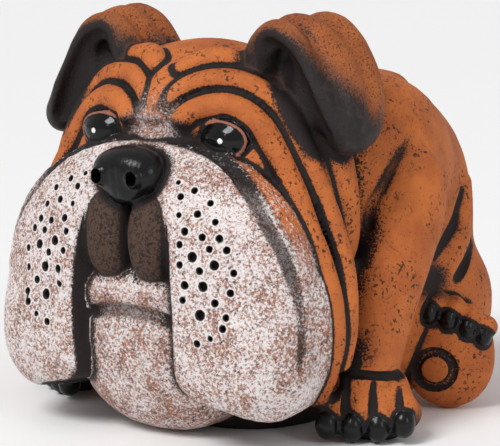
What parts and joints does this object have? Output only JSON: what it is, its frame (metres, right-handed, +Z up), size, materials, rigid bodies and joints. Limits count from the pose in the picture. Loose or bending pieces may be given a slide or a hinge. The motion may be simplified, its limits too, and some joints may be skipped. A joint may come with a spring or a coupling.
{
  "type": "bulldog planter",
  "caption": "Hollow cast planter in the shape of a sitting bulldog with heavy jowls, open at the back for a plant, with a drain hole in its floor.",
  "frame": {"origin": "on the flat underside, under the middle of the figure from side to side and between the head and the body from front to back", "axes": "+Z up, the dog faces -Y, its left side is +X"},
  "size_m": [0.2276, 0.2362, 0.1985],
  "materials": {
    "painted_terracotta": "matte terracotta paint with a dark wash in the folds, a pale speckled muzzle and gloss black eyes, nose and claws"
  },
  "bodies": {
    "root": {"bulldog_planter": "painted_terracotta"}
  },
  "joints": []
}
